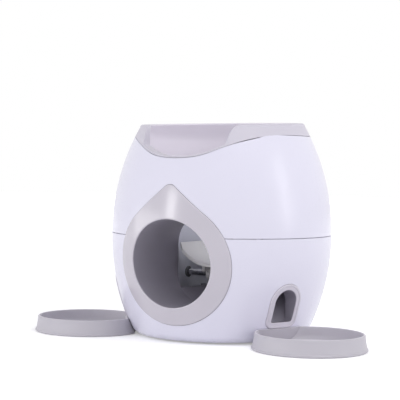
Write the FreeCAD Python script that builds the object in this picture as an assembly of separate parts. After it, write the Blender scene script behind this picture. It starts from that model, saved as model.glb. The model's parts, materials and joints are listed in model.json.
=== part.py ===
import FreeCAD, Part
import math
import os

V = FreeCAD.Vector
Z_AXIS = V(0, 0, 1)
Y_AXIS = V(0, 1, 0)
X_AXIS = V(1, 0, 0)
DOWN = V(0, 0, -1)

# Automatic dog ball launcher, in millimetres. The origin is on the floor, on the barrel's axis.
# The front faces -Y. Azimuths are measured from the front, towards +X.

# Clearances and common sizes
fit_gap = 0.2                # between nested mouldings
move_gap = 0.3               # between pieces of different bodies
reveal = 0.3                 # shadow line between visible mouldings
over = 1.0                   # how far a cut or a root runs past a face
blind = 2.0                  # material left at the end of a blind hole
rib_half = 1.2

# Barrel casing
barrel_radius = 100.0        # at the seam
barrel_arc = 200.0           # radius of the bulge, seen from the side
seam_height = 92.3
casing_bottom = 1.2          # casing's underside above the floor
casing_wall = 2.6
bottom_corner = 10.0
seam_gap = 0.6
lap_depth = 3.4              # tongue of the upper shell inside the lower one
lap_wall = 1.6
beyond = 2 * barrel_radius   # past the barrel on every side
front_reach = 0.25 * barrel_radius

# Wavy edge of the upper shell: shares of its half width and of its rise
edge_back = 180.7
edge_front = 159.4
wave_half_width = 0.79 * barrel_radius
wave_points = ((0.0, 0.0), (0.31, 0.14), (0.58, 0.577), (0.79, 0.873), (1.0, 1.0))

# Top bowl
rim_back = 195.3
rim_drop = 3.5               # the rim is this much lower at the sides than at the back
bowl_wall = 2.4
bowl_lift_gap = 0.4          # round the bowl as it lifts out through the shell's edge
collar_gap = 0.4             # above the shell's wavy edge
collar_wall = 5.0
collar_flange = 1.6          # thickness of the collar where it is lowest, at the front
collar_half_front = 0.42 * barrel_radius
collar_corner = 6.0
collar_corner_drop = 4.0
bowl_floor = 143.0
bowl_floor_slope = 5.5
bowl_heel = 12.0             # round between the bowl's floor and wall

# Ball and its passages
ball_radius = 33.85
drop_clearance = 9.15
drop_radius = ball_radius + drop_clearance
drop_y = 7.0                 # the drop shaft stands a little behind the barrel's axis
drop_wall = 2.2
neck_bottom = 132.0
neck_socket = 9.0
tunnel_clearance = 4.05
tunnel_radius = ball_radius + tunnel_clearance
tunnel_height = 69.5
tunnel_wall = 2.2
tunnel_flange_width = 9.6
tunnel_flange = tunnel_radius + tunnel_flange_width
tunnel_flange_wall = 2.0
ramp_slope = 4.0
ramp_wall = 2.4
ramp_top = 42.0
ramp_rib_x = 15.0
ramp_rib_ys = (-15.0, 30.0)

# Teardrop bezel
bezel_width = 15.7
drop_bezel_radius = tunnel_radius + bezel_width
bezel_apex = 137.0
bezel_apex_radius = 7.0
bezel_proud = 0.8
bezel_lip = 4.5              # hidden flange behind the shell's opening
bezel_front_wall = 0.9       # lip in front of the tunnel's end
bezel_flange_wall = 2.0

# Food outlets
outlet_azimuth = 65.5
outlet_bottom = 18.5
outlet_top = 49.0
outlet_half_width = 12.6
outlet_corner = 3.0
outlet_rim = 4.2
outlet_proud = 0.8
outlet_lip = 3.5
outlet_front_wall = 0.9
outlet_reach = 0.4 * barrel_radius
chute_wall = 1.6
chute_bend = 0.76 * barrel_radius   # the duct is straight outside this radius

# Food trays
tray_azimuth = 66.0
tray_offset = 21.6           # tray's centre, out from the barrel's seam
tray_distance = barrel_radius + tray_offset
tray_base_radius = 49.2
tray_rim_radius = 46.7
tray_height = 14.2
tray_wall = 2.2
tray_floor = 2.4
tray_lip = 1.8
tray_foot_round = 0.8
tray_rim_round = 0.9
tray_bulge = 0.7             # how far the tray's wall swells past a straight cone
tray_corner = 5.0
tray_gap = 0.6

# Ball cradle and its shaft
pivot_y = 14.0
pivot_z = 54.0
cradle_ease = 0.75
cradle_radius = ball_radius + cradle_ease
cradle_rise = 10.5           # trough's lowest line above the shaft
cradle_axis_height = pivot_z + cradle_rise + cradle_radius
cradle_wall = 2.0
cradle_lip_rise = 29.0
cradle_top = pivot_z + cradle_lip_rise
cradle_front = -24.0
cradle_clearance = 1.5
web_half = 1.5
web_reach = 14.0
shaft_radius = 3.0
shaft_running = 0.05
hub_radius = 6.5
hub_half = 20.0
arm_half = 5.0
arm_height = 7.0
weight_radius = 5.5
weight_half = 13.0
weight_reach = 21.0
weight_drop = 4.0
pin_radius = 1.0
pin_short = 1.0              # a pin ends this far inside its hub
pin_inset = 8.0
clip_radius = 5.5
clip_wall = 1.0
clip_gap = 0.5
bumper_radius = 4.0
bumper_socket = 1.2

# Metering wheels and housings
wheel_inner = 52.0
wheel_width = 20.0
wheel_radius = 17.0
wheel_gap = 0.4
wheel_rim = 2.0
pocket_floor = 6.0
pocket_centre = 30.0         # from straight up towards the front, at rest
pocket_half_angle = 25.0
housing_wall = 2.0
housing_end = 1.4
housing_ear_wall = 3.0
housing_window = 15.0        # height of the opening to the chute
housing_window_low = 11.0    # how far that opening starts below the shaft
bush_radius = 5.0
boss_radius = 9.0
ear_reach = 22.5
ear_angle = 50.0
ear_radius = 4.5
post_radius = 3.5
post_hole = 8.0

# Hoppers
hopper_inner = 54.0
hopper_outer_inset = 1.3     # hopper's outer wall inside the circle of its screws
hopper_half_angle = 32.0
hopper_top = 144.5
hopper_shoulder = 96.0
spout_top = 78.0
spout_bottom = 62.0
hopper_wall = 1.8
hopper_flange = 2.0
spout_y = 6.0
spout_half = 9.5
hopper_post_azimuth = 52.0
hopper_post_inset = 3.57     # hopper's screws from the casing's wall
hopper_post_boss = 4.0
hopper_post_height = 14.0
hopper_rim_width = 8.0
hopper_tab_wall = 3.0
hopper_tab = (-10.0, 24.0)   # from front to back

# Base, feet and fasteners
base_seat = 2.8              # flat ring left round the base plate
corner_drop = seam_height - casing_bottom - bottom_corner
bottom_flat = barrel_radius - barrel_arc + math.sqrt((barrel_arc - bottom_corner) ** 2 - corner_drop ** 2)
base_radius = bottom_flat - base_seat
base_wall = 2.6
ledge_wall = 2.2
ledge_width = 6.5
ledge_inner = base_radius - ledge_width
ledge_corner = 3.0
foot_radius = 7.0
foot_inset = 12.0
foot_circle = base_radius - foot_inset
foot_recess = 1.2
foot_azimuths = (28.0, 152.0, 208.0, 332.0)
shaft_flange_gap = 1.5
shaft_flange = ledge_inner - drop_y - shaft_flange_gap
shaft_flange_wall = 2.4
shaft_screw_inset = 4.0
shaft_screw_circle = shaft_flange - shaft_screw_inset
base_screw_inset = 3.5
base_screw_circle = base_radius - base_screw_inset
base_screw_azimuths = (55.0, 125.0, 235.0, 305.0)
base_boss_radius = 3.5
base_boss_height = 10.0
screw_radius = 1.5
screw_head = 2.8
screw_head_height = 1.4
case_boss_radius = 5.0
case_boss_inset = 8.0
case_boss_circle = barrel_radius - case_boss_inset
case_boss_height = 14.0
case_boss_azimuths = (46.0, 110.0, 160.0, 200.0, 250.0, 314.0)
bezel_screw_length = 5.0
base_screw_length = 9.0
housing_screw_length = 9.0
hopper_screw_length = 10.0
form_margin = 3.0            # the barrel's curve is drawn this far below and above the object
form_low = -form_margin
form_high = rim_back + form_margin


def arc_r(z, offset=0.0):
    """Radius of the barrel's surface, moved out by offset, at height z."""
    reach = barrel_arc + offset
    return barrel_radius - barrel_arc + math.sqrt(reach ** 2 - (z - seam_height) ** 2)


def place(azimuth, radius, z=0.0):
    angle = math.radians(azimuth)
    return V(radius * math.sin(angle), -radius * math.cos(angle), z)


def outline(steps):
    """Closed face in the XZ plane. A step is a point, or (middle, end) for an arc from the last point."""
    edges = []
    start = V(steps[0][0], 0, steps[0][1])
    here = start
    for step in steps[1:]:
        if isinstance(step[0], tuple):
            middle = V(step[0][0], 0, step[0][1])
            end = V(step[1][0], 0, step[1][1])
            edges.append(Part.Arc(here, middle, end).toShape())
        else:
            end = V(step[0], 0, step[1])
            edges.append(Part.LineSegment(here, end).toShape())
        here = end
    if here.distanceToPoint(start) > 1e-6:
        edges.append(Part.LineSegment(here, start).toShape())
    return Part.Face(Part.Wire(edges))


def turned(steps):
    """Solid of revolution about the barrel's axis."""
    return outline(steps).revolve(V(0, 0, 0), Z_AXIS, 360)


def arc_step(z_end, offset, z_start):
    """Arc along the barrel's curve from z_start to z_end."""
    z_mid = (z_start + z_end) / 2
    return ((arc_r(z_mid, offset), z_mid), (arc_r(z_end, offset), z_end))


def barrel_solid(offset, z_low=form_low, z_high=form_high):
    return turned([(0, z_low), (arc_r(z_low, offset), z_low), arc_step(z_high, offset, z_low), (0, z_high)])


def band(outer, inner, z_low, z_high):
    """Ring between two offsets of the barrel's curve."""
    return turned([
        (arc_r(z_low, inner), z_low),
        (arc_r(z_low, outer), z_low),
        arc_step(z_high, outer, z_low),
        (arc_r(z_high, inner), z_high),
        arc_step(z_low, inner, z_high),
    ])


def rod(radius, z_low, z_high, at=V(0, 0, 0)):
    return Part.makeCylinder(radius, z_high - z_low, V(at.x, at.y, z_low), Z_AXIS)


def rod_x(radius, x_low, x_high, y=pivot_y, z=pivot_z):
    return Part.makeCylinder(radius, x_high - x_low, V(x_low, y, z), X_AXIS)


def rod_y(radius, y_low, y_high, x=0.0, z=tunnel_height):
    return Part.makeCylinder(radius, y_high - y_low, V(x, y_low, z), Y_AXIS)


def block(x_low, x_high, y_low, y_high, z_low, z_high):
    return Part.makeBox(x_high - x_low, y_high - y_low, z_high - z_low, V(x_low, y_low, z_low))


def front_prism(face, y_high=-front_reach):
    """A face in the XZ plane, run along Y through the front of the barrel."""
    face = face.copy()
    face.translate(V(0, -beyond, 0))
    return face.extrude(V(0, y_high + beyond, 0))


def spun(shape, azimuth):
    shape = shape.copy()
    shape.rotate(V(0, 0, 0), Z_AXIS, azimuth)
    return shape


def mirrored(shape):
    return shape.mirror(V(0, 0, 0), X_AXIS)


def fused(shapes):
    return shapes[0].multiFuse(shapes[1:]).removeSplitter()


def screw(at, direction, length):
    """Pan-head screw. at is the seat under its head, and direction points along its shank."""
    shank = Part.makeCylinder(screw_radius, length, at, direction)
    head = Part.makeCylinder(screw_head, screw_head_height, at, direction * -1)
    return shank.fuse(head).removeSplitter()


def save(name, shape):
    shape.exportStep("parts/" + name + ".step")


def teardrop(grow=0.0):
    """Round below, with straight sides that meet at a small round apex."""
    big = drop_bezel_radius + grow
    small = bezel_apex_radius + grow
    apex_z = bezel_apex - bezel_apex_radius
    lean = math.asin((big - small) / (apex_z - tunnel_height))
    high = (small * math.cos(lean), apex_z + small * math.sin(lean))
    low = (big * math.cos(lean), tunnel_height + big * math.sin(lean))
    return outline([
        high,
        ((0, apex_z + small), (-high[0], high[1])),
        (-low[0], low[1]),
        ((0, tunnel_height - big), low),
        high,
    ])


def arch(grow=0.0):
    """Food outlet: flat bottom, straight sides and a round top."""
    half = outlet_half_width + grow
    low = outlet_bottom - grow
    spring = outlet_top - outlet_half_width
    corner = outlet_corner + grow
    bend = corner * (1 - math.sqrt(0.5))
    return outline([
        (-half + corner, low),
        (half - corner, low),
        ((half - bend, low + bend), (half, low + corner)),
        (half, spring),
        ((0, spring + half), (-half, spring)),
        (-half, low + corner),
        ((-half + bend, low + bend), (-half + corner, low)),
    ])


def arch_prism(grow, side):
    return spun(front_prism(arch(grow), -outlet_reach), side * outlet_azimuth)


def wave_cutter(lower=0.0):
    """What lies above the wavy edge: a curved prism in front and a flat block behind."""
    rise = edge_back - edge_front
    right = [V(share * wave_half_width, 0, edge_front - lower + rise * lift) for share, lift in wave_points]
    left = [V(-point.x, 0, point.z) for point in reversed(right[1:])]
    curve = Part.BSplineCurve()
    curve.interpolate(left + right, InitialTangent=X_AXIS, FinalTangent=X_AXIS)
    flat = edge_back - lower
    corners = [
        V(wave_half_width, 0, flat), V(beyond, 0, flat), V(beyond, 0, beyond + flat),
        V(-beyond, 0, beyond + flat), V(-beyond, 0, flat), V(-wave_half_width, 0, flat),
    ]
    lines = [Part.LineSegment(a, b).toShape() for a, b in zip(corners, corners[1:])]
    face = Part.Face(Part.Wire([curve.toShape()] + lines))
    behind = block(-beyond, beyond, 0, beyond, flat, beyond + flat)
    return front_prism(face, 0.0).fuse(behind)


def case_bosses(z_low, z_high):
    """Screw bosses on the casing's wall, each with a rib, for the seam screws."""
    inside = barrel_solid(-casing_wall / 2)
    bosses = []
    for azimuth in case_boss_azimuths:
        boss = rod(case_boss_radius, z_low, z_high, place(0, case_boss_circle))
        rib = block(-rib_half, rib_half, -barrel_radius, -case_boss_circle, z_low, z_high)
        bosses.append(spun(boss.fuse(rib), azimuth).common(inside))
    return bosses


def case_holes(z_low, z_high):
    spots = [place(azimuth, case_boss_circle) for azimuth in case_boss_azimuths]
    return [rod(screw_radius, z_low, z_high, spot) for spot in spots]


def lower_shell():
    ledge_low = casing_bottom + base_wall
    ledge_high = ledge_low + ledge_wall
    top = seam_height - seam_gap / 2
    # The bottom corner is a round that touches the flat underside and the barrel's curve.
    corner_z = casing_bottom + bottom_corner
    bulge_r = barrel_radius - barrel_arc
    turn = math.atan2(corner_z - seam_height, bottom_flat - bulge_r)
    half_turn = (turn - math.pi / 2) / 2
    middle = (bottom_flat + bottom_corner * math.cos(half_turn),
              corner_z + bottom_corner * math.sin(half_turn))
    corner_end = (bulge_r + barrel_arc * math.cos(turn), seam_height + barrel_arc * math.sin(turn))
    skin = turned([
        (base_radius + fit_gap, casing_bottom),
        (bottom_flat, casing_bottom),
        (middle, corner_end),
        arc_step(top, 0, corner_end[1]),
        (arc_r(top, -casing_wall), top),
        arc_step(ledge_high + ledge_corner, -casing_wall, top),
        (bottom_flat, ledge_high),
        (ledge_inner, ledge_high),
        (ledge_inner, ledge_low),
        (base_radius + fit_gap, ledge_low),
    ])
    boss_top = ledge_high + base_boss_height
    pieces = [skin] + case_bosses(seam_height - case_boss_height, seam_height)
    for azimuth in base_screw_azimuths:
        pieces.append(rod(base_boss_radius, ledge_low, boss_top, place(azimuth, base_screw_circle)))
    shell = fused(pieces)
    cuts = [front_prism(teardrop(reveal))]
    cuts += [arch_prism(outlet_rim + reveal, side) for side in (-1, 1)]
    cuts += case_holes(seam_height - case_boss_height - over, seam_height)
    for azimuth in base_screw_azimuths:
        cuts.append(rod(screw_radius, 0, boss_top - blind, place(azimuth, base_screw_circle)))
    return shell.cut(cuts)


def upper_shell():
    bottom = seam_height + seam_gap / 2
    skin = band(0, -casing_wall, bottom, edge_back + over)
    lap_outer = -casing_wall - fit_gap
    lap_inner = lap_outer - lap_wall
    root = band(-casing_wall / 2, lap_inner, bottom, bottom + lap_wall)
    tongue = band(lap_outer, lap_inner, bottom - lap_depth, bottom + lap_wall)
    lap = fused([root, tongue]).cut(front_prism(teardrop(bezel_lip + reveal)))
    for azimuth in case_boss_azimuths:
        notch = block(-case_boss_radius - fit_gap, case_boss_radius + fit_gap, -barrel_radius,
                      -case_boss_circle, 0, seam_height)
        lap = lap.cut(spun(notch, azimuth))
    pieces = [skin, lap] + case_bosses(seam_height, seam_height + case_boss_height)
    inside = barrel_solid(-casing_wall / 2)
    post_high = hopper_top - hopper_flange
    post_low = post_high - hopper_post_height
    for azimuth in hopper_post_azimuths():
        post = rod(hopper_post_boss, post_low, post_high, place(0, hopper_post_circle()))
        rib = block(-rib_half, rib_half, -barrel_radius, -hopper_post_circle(), post_low, post_high)
        pieces.append(spun(post.fuse(rib), azimuth).common(inside))
    shell = fused(pieces)
    cuts = [wave_cutter(), front_prism(teardrop(reveal))]
    cuts += case_holes(0, seam_height + case_boss_height - blind)
    for azimuth in hopper_post_azimuths():
        cuts.append(rod(screw_radius, post_low + blind, hopper_top, place(azimuth, hopper_post_circle())))
    return shell.cut(cuts)


def hopper_post_circle():
    return arc_r(hopper_top, -casing_wall) - hopper_post_inset


def hopper_post_azimuths():
    near = hopper_post_azimuth
    return (near, 180 - near, 180 + near, 360 - near)


def bowl_steps(radius, floor, heel):
    """Outline from the axis out along the sloping floor and round up into the upright wall."""
    lean = math.radians(bowl_floor_slope)
    centre_r = radius - heel
    centre_z = floor + centre_r * math.tan(lean) + heel / math.cos(lean)
    half_turn = (lean - math.pi / 2) / 2
    return [
        (0, floor),
        (centre_r + heel * math.sin(lean), centre_z - heel * math.cos(lean)),
        ((centre_r + heel * math.cos(half_turn), centre_z + heel * math.sin(half_turn)), (radius, centre_z)),
    ]


def bowl_radius():
    """Outside of the bowl's upright wall, which lifts out through the upper shell's edge."""
    return arc_r(edge_back, -casing_wall) - bowl_lift_gap


def bowl_inside():
    """Space inside the top bowl. Near the rim its wall leans in with the barrel's curve."""
    radius = bowl_radius() - bowl_wall
    reach = barrel_arc - collar_wall
    lean_in = seam_height + math.sqrt(reach ** 2 - (radius - barrel_radius + barrel_arc) ** 2)
    steps = bowl_steps(radius, bowl_floor, bowl_heel)
    return turned(steps + [(radius, lean_in), arc_step(form_high + over, -collar_wall, lean_in),
                           (0, form_high + over)])


def top_bowl():
    steps = bowl_steps(bowl_radius(), bowl_floor - bowl_wall, bowl_heel + bowl_wall)
    wall_top = edge_back + collar_flange
    body = turned(steps + [(bowl_radius(), wall_top), (0, wall_top)])
    collar = barrel_solid(0, edge_front - over).common(wave_cutter(-collar_gap))
    neck = rod(drop_radius + drop_wall, neck_bottom, bowl_floor + bowl_wall, V(0, drop_y, 0))
    bowl = fused([body, collar, neck])
    bowl = bowl.cut([bowl_inside(), rod(drop_radius, neck_bottom - over, edge_back, V(0, drop_y, 0))])
    return bowl.cut([rim_cutter(), front_notch()])


def rim_cutter():
    """The rim's plane leans: it is highest at the back."""
    low = rim_back - rim_drop
    cutter = block(-beyond, beyond, -beyond, beyond, low, low + beyond)
    cutter.rotate(V(0, 0, low), X_AXIS, math.degrees(math.atan(rim_drop / arc_r(rim_back))))
    return cutter


def front_notch():
    """Gap between the collar's two front ends, down to the thin flange on the wavy edge."""
    half = collar_half_front
    wide = half + collar_corner
    top = rim_back - rim_drop - collar_corner_drop
    bend = collar_corner * (1 - math.sqrt(0.5))
    gap = outline([
        (-half, 0),
        (half, 0),
        (half, top - collar_corner),
        ((half + bend, top - bend), (wide, top)),
        (wide, beyond),
        (-wide, beyond),
        (-wide, top),
        ((-half - bend, top - bend), (-half, top - collar_corner)),
    ])
    return front_prism(gap, 0).common(wave_cutter(-collar_gap - collar_flange))


def bezel_span():
    """Lowest and highest point of the teardrop bezel with its hidden flange, and a little over."""
    return tunnel_height - drop_bezel_radius - bezel_lip - over, bezel_apex + bezel_lip + over


def behind_bezel():
    """Offset of what sits behind the bezels' flanges, from the barrel's curve."""
    return -casing_wall - 2 * fit_gap - bezel_flange_wall


def teardrop_bezel():
    low, high = bezel_span()
    flange_in = -casing_wall - fit_gap - bezel_flange_wall
    face = band(bezel_proud, flange_in, low, high).common(front_prism(teardrop()))
    flange = band(-casing_wall - fit_gap, flange_in, low, high).common(front_prism(teardrop(bezel_lip)))
    seat = rod_y(tunnel_radius + tunnel_wall + fit_gap, -beyond, 0)
    seat = seat.common(barrel_solid(bezel_proud - bezel_front_wall))
    bezel = fused([face, flange]).cut([rod_y(tunnel_radius, -beyond, 0), seat])
    holes = [rod_y(screw_radius, bezel_screw_seat(x, z) - bezel_screw_length - fit_gap, -front_reach, x, z)
             for x, z in bezel_screw_spots()]
    return bezel.cut(holes)


def bezel_screw_spots():
    reach = (tunnel_radius + tunnel_wall + fit_gap + tunnel_flange) / 2
    step = reach * math.sqrt(0.5)
    return [(x, tunnel_height + z) for x in (-step, step) for z in (-step, step)]


def bezel_screw_seat(x, z):
    """Where a screw's head sits, half way into the tunnel's flange."""
    return -math.sqrt(arc_r(z, behind_bezel() - tunnel_flange_wall / 2) ** 2 - x ** 2)


def shaft_space(radius):
    return rod(radius, -beyond, beyond, V(0, drop_y, 0))


def exit_tunnel():
    back = behind_bezel()
    tube = rod_y(tunnel_radius + tunnel_wall, -beyond, drop_y)
    tube = tube.common(barrel_solid(bezel_proud - bezel_front_wall - fit_gap))
    flange = band(back, back - tunnel_flange_wall, *bezel_span())
    flange = flange.common(rod_y(tunnel_flange, -beyond, -front_reach))
    cuts = [rod_y(tunnel_radius, -beyond, drop_y + over), shaft_space(drop_radius)]
    for x, z in bezel_screw_spots():
        cuts.append(rod_y(screw_radius, -beyond, -front_reach, x, z))
        cuts.append(rod_y(screw_head + fit_gap, bezel_screw_seat(x, z), -front_reach, x, z))
    return fused([tube, flange]).cut(cuts)


def shaft_wall_x(y):
    """Where the drop shaft's inside stands beside its axis, at a given y."""
    return math.sqrt(drop_radius ** 2 - (y - drop_y) ** 2)


def housing_face():
    return wheel_inner - wheel_gap - housing_end


def drop_shaft():
    low = casing_bottom + base_wall
    tube = rod(drop_radius + drop_wall, low, neck_bottom - move_gap, V(0, drop_y, 0))
    socket_inner = drop_radius + drop_wall + move_gap
    socket_top = neck_bottom + neck_socket
    socket = rod(socket_inner + drop_wall, neck_bottom - neck_socket, socket_top, V(0, drop_y, 0))
    socket = socket.cut(rod(socket_inner, neck_bottom - move_gap, socket_top, V(0, drop_y, 0)))
    flange = rod(shaft_flange, low, low + shaft_flange_wall, V(0, drop_y, 0))
    supports = [rod_x(boss_radius, shaft_wall_x(pivot_y + boss_radius) - over, housing_face())]
    holes = [rod_x(bush_radius, 0, beyond)]
    for y, z in ear_spots():
        supports.append(rod_x(post_radius, shaft_wall_x(y + post_radius) - over, housing_face(), y, z))
        holes.append(rod_x(screw_radius, housing_face() - post_hole, beyond, y, z))
    shaft = fused([tube, socket, flange] + supports + [mirrored(support) for support in supports])
    cuts = [shaft_space(drop_radius), rod_y(tunnel_radius + tunnel_wall, -beyond, drop_y)]
    for x, y in shaft_screw_spots():
        cuts.append(rod(screw_radius, 0, low + shaft_flange_wall + over, V(x, y, 0)))
    return shaft.cut(cuts + holes + [mirrored(hole) for hole in holes])


def ear_spots():
    step_y = ear_reach * math.cos(math.radians(ear_angle))
    step_z = ear_reach * math.sin(math.radians(ear_angle))
    return [(pivot_y + step_y, pivot_z + step_z), (pivot_y + step_y, pivot_z - step_z)]


def shaft_screw_spots():
    step = shaft_screw_circle * math.sqrt(0.5)
    return [(x, drop_y + y) for x in (-step, step) for y in (-step, step)]


def ramp_tube(radius):
    """A tube along the tunnel's axis, leaning up to the back from the tunnel's mouth."""
    start = V(0, drop_y - drop_radius, tunnel_height)
    lean = math.radians(ramp_slope)
    direction = V(0, math.cos(lean), math.sin(lean))
    return Part.makeCylinder(radius, 4 * drop_radius, start - direction * drop_radius, direction)


def ball_ramp():
    low = casing_bottom + base_wall
    inside = rod(drop_radius - fit_gap, low, ramp_top, V(0, drop_y, 0))
    pieces = [ramp_tube(tunnel_radius + ramp_wall).common(inside)]
    for x in (-ramp_rib_x, ramp_rib_x):
        pieces.append(block(x - rib_half, x + rib_half, -beyond, beyond, low, ramp_top).common(inside))
    for y in ramp_rib_ys:
        pieces.append(block(-beyond, beyond, y - rib_half, y + rib_half, low, ramp_top).common(inside))
    ramp = fused(pieces).cut(ramp_tube(tunnel_radius))
    return ramp.cut(rod(bumper_radius, bumper_bottom(), ramp_top + over, V(0, bumper_y(), 0)))


def bumper_y():
    return pivot_y + weight_reach


def bumper_bottom():
    """The bumper stands in a shallow socket in the ramp."""
    rise = (bumper_y() - drop_y + drop_radius) * math.tan(math.radians(ramp_slope))
    return tunnel_height + rise - tunnel_radius / math.cos(math.radians(ramp_slope)) - bumper_socket


def cradle_bumper():
    top = pivot_z - weight_drop - weight_radius - move_gap
    return rod(bumper_radius, bumper_bottom(), top, V(0, bumper_y(), 0))


def cradle_rod(radius, y_low=-beyond):
    return rod_y(radius, y_low, beyond, 0, cradle_axis_height)


def ball_cradle():
    """A trough with a closed back, on two webs over a hub, with an arm for the counterweight behind."""
    inside = shaft_space(drop_radius - cradle_clearance)
    below = block(-beyond, beyond, -beyond, beyond, 0, cradle_top)
    trough = cradle_rod(cradle_radius + cradle_wall, cradle_front).common(below).common(inside)
    open_front = block(-beyond, beyond, -beyond, drop_y, 0, beyond)
    cavity = shaft_space(drop_radius - cradle_clearance - cradle_wall).fuse(open_front)
    trough = trough.cut(cradle_rod(cradle_radius).common(cavity))
    hub = rod_x(hub_radius, -hub_half, hub_half)
    under = cradle_rod(cradle_radius + cradle_wall / 2)
    web = block(hub_half - 2 * web_half, hub_half, pivot_y - web_reach, pivot_y + web_reach,
                pivot_z + shaft_radius - over, cradle_axis_height).cut(under)
    arm_middle = pivot_z - weight_drop / 2
    arm = block(-arm_half, arm_half, pivot_y, pivot_y + weight_reach - weight_radius / 2,
                arm_middle - arm_height / 2, arm_middle + arm_height / 2)
    cradle = fused([trough, hub, arm, web, mirrored(web)])
    return cradle.cut([rod_x(shaft_radius, -beyond, beyond), counterweight(), cradle_pin()])


def counterweight():
    return rod_x(weight_radius, -weight_half, weight_half, pivot_y + weight_reach, pivot_z - weight_drop)


def cross_pin(x, radius):
    """Upright pin through the shaft, a little shorter than the hub of that radius."""
    half = radius - pin_short
    return rod(pin_radius, pivot_z - half, pivot_z + half, V(x, pivot_y, 0))


def cradle_pin():
    return cross_pin(hub_half - pin_inset, hub_radius)


def wheel_pin(side):
    return cross_pin(side * (wheel_inner + wheel_rim), pocket_floor)


def housing_end_face():
    return wheel_inner + wheel_width + wheel_gap + housing_end


def cradle_shaft():
    end = housing_end_face() + 2 * clip_gap + clip_wall
    return rod_x(shaft_radius, -end, end).cut([cradle_pin(), wheel_pin(1), wheel_pin(-1)])


def shaft_clips():
    start = housing_end_face() + clip_gap
    clip = rod_x(clip_radius, start, start + clip_wall).cut(rod_x(shaft_radius, 0, beyond))
    return Part.makeCompound([clip, mirrored(clip)])


def pocket_corner(reach, angle):
    """A point beside the shaft, its angle measured from straight up towards the front."""
    angle = math.radians(angle)
    return V(wheel_inner + wheel_rim, pivot_y - reach * math.sin(angle), pivot_z + reach * math.cos(angle))


def metering_wheel(side):
    wheel = rod_x(wheel_radius, wheel_inner, wheel_inner + wheel_width)
    corners = [
        pocket_corner(pocket_floor, pocket_centre),
        pocket_corner(2 * wheel_radius, pocket_centre - pocket_half_angle),
        pocket_corner(2 * wheel_radius, pocket_centre + pocket_half_angle),
    ]
    pocket = Part.Face(Part.makePolygon(corners + corners[:1]))
    pocket = pocket.extrude(X_AXIS * (wheel_width - 2 * wheel_rim))
    wheel = wheel.cut([pocket, rod_x(shaft_radius, 0, beyond), wheel_pin(1)])
    return wheel if side > 0 else mirrored(wheel)


def rotor_housing(side):
    """A drum round the metering wheel, open above to the hopper's spout and in front to the chute."""
    face = housing_face()
    bore = wheel_radius + wheel_gap
    ears = [rod_x(ear_radius, face, face + housing_ear_wall, y, z) for y, z in ear_spots()]
    housing = fused([rod_x(bore + housing_wall, face, housing_end_face())] + ears)
    x_low = wheel_inner + wheel_rim
    x_high = wheel_inner + wheel_width - wheel_rim
    window_bottom = pivot_z - housing_window_low
    cuts = [
        rod_x(bore, face + housing_end, housing_end_face() - housing_end),
        rod_x(shaft_radius + move_gap, 0, beyond),
        block(x_low, x_high, spout_y - spout_half + hopper_wall, spout_y + spout_half - hopper_wall,
              pivot_z + bore / 2, spout_top),
        block(x_low, x_high, pivot_y - 2 * bore, pivot_y - bore / 2,
              window_bottom, window_bottom + housing_window),
    ]
    cuts += [rod_x(screw_radius, 0, face + housing_ear_wall + over, y, z) for y, z in ear_spots()]
    housing = housing.cut(cuts)
    return housing if side > 0 else mirrored(housing)


def shaft_bush(side):
    start = shaft_wall_x(pivot_y + bush_radius)
    bush = rod_x(bush_radius, start, housing_face()).cut(rod_x(shaft_radius + shaft_running, 0, beyond))
    return bush if side > 0 else mirrored(bush)


def wire_loop(points, arcs=()):
    """Closed wire through points. arcs maps an edge's number to the middle point of its arc."""
    edges = []
    for number, (a, b) in enumerate(zip(points, points[1:] + points[:1])):
        middle = dict(arcs).get(number)
        edges.append(Part.Arc(a, middle, b).toShape() if middle else Part.LineSegment(a, b).toShape())
    return Part.Wire(edges)


def sector_loop(spread, inner, outer, z):
    """Outline of a ring sector about the +X side."""
    points = [place(90 - spread, inner, z), place(90 - spread, outer, z), place(90 + spread, outer, z),
              place(90 + spread, inner, z)]
    return wire_loop(points, {1: place(90, outer, z), 3: place(90, inner, z)})


def hopper_form(inset):
    """Ring sector above, drawn in to a square spout over the metering wheel."""
    inner = hopper_inner + inset
    outer = hopper_post_circle() - hopper_outer_inset - inset
    spread = hopper_half_angle - math.degrees(inset / inner)
    shoulder = hopper_shoulder + inset / 2
    top = Part.Face(sector_loop(spread, inner, outer, shoulder))
    top = top.extrude(V(0, 0, hopper_top + inset - shoulder))
    x_low = wheel_inner + inset
    x_high = wheel_inner + wheel_width - inset
    y_low = spout_y - spout_half + inset
    y_high = spout_y + spout_half - inset
    throat = wire_loop([V(x_low, y_low, spout_top), V(x_high, y_low, spout_top), V(x_high, y_high, spout_top),
                        V(x_low, y_high, spout_top)])
    funnel = Part.makeLoft([throat, sector_loop(spread, inner, outer, shoulder)], True, True)
    spout = block(x_low, x_high, y_low, y_high, spout_bottom - inset, spout_top)
    return fused([top, funnel, spout])


def hopper(side):
    low = hopper_top - hopper_flange
    spread = 90 - hopper_post_azimuth
    ear = rod(ear_radius, low, hopper_top, place(hopper_post_azimuth, hopper_post_circle()))
    ear = ear.common(barrel_solid(-casing_wall - fit_gap))
    rim = Part.Face(sector_loop(spread, hopper_post_circle() - hopper_rim_width, hopper_post_circle(), low))
    rim = rim.extrude(V(0, 0, hopper_flange))
    tab = block(drop_radius, hopper_inner + hopper_wall, *hopper_tab, low - hopper_tab_wall, low)
    body = fused([hopper_form(0), rim, ear, spun(ear, 2 * spread), tab])
    cuts = [
        hopper_form(hopper_wall),
        shaft_space(drop_radius + 2 * drop_wall + move_gap),
        rod_x(wheel_radius + wheel_gap + housing_wall, 0, beyond),
    ]
    for azimuth in (hopper_post_azimuth, 180 - hopper_post_azimuth):
        cuts.append(rod(screw_radius, low - over, hopper_top + over, place(azimuth, hopper_post_circle())))
    body = body.cut(cuts)
    return body if side > 0 else mirrored(body)


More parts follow.
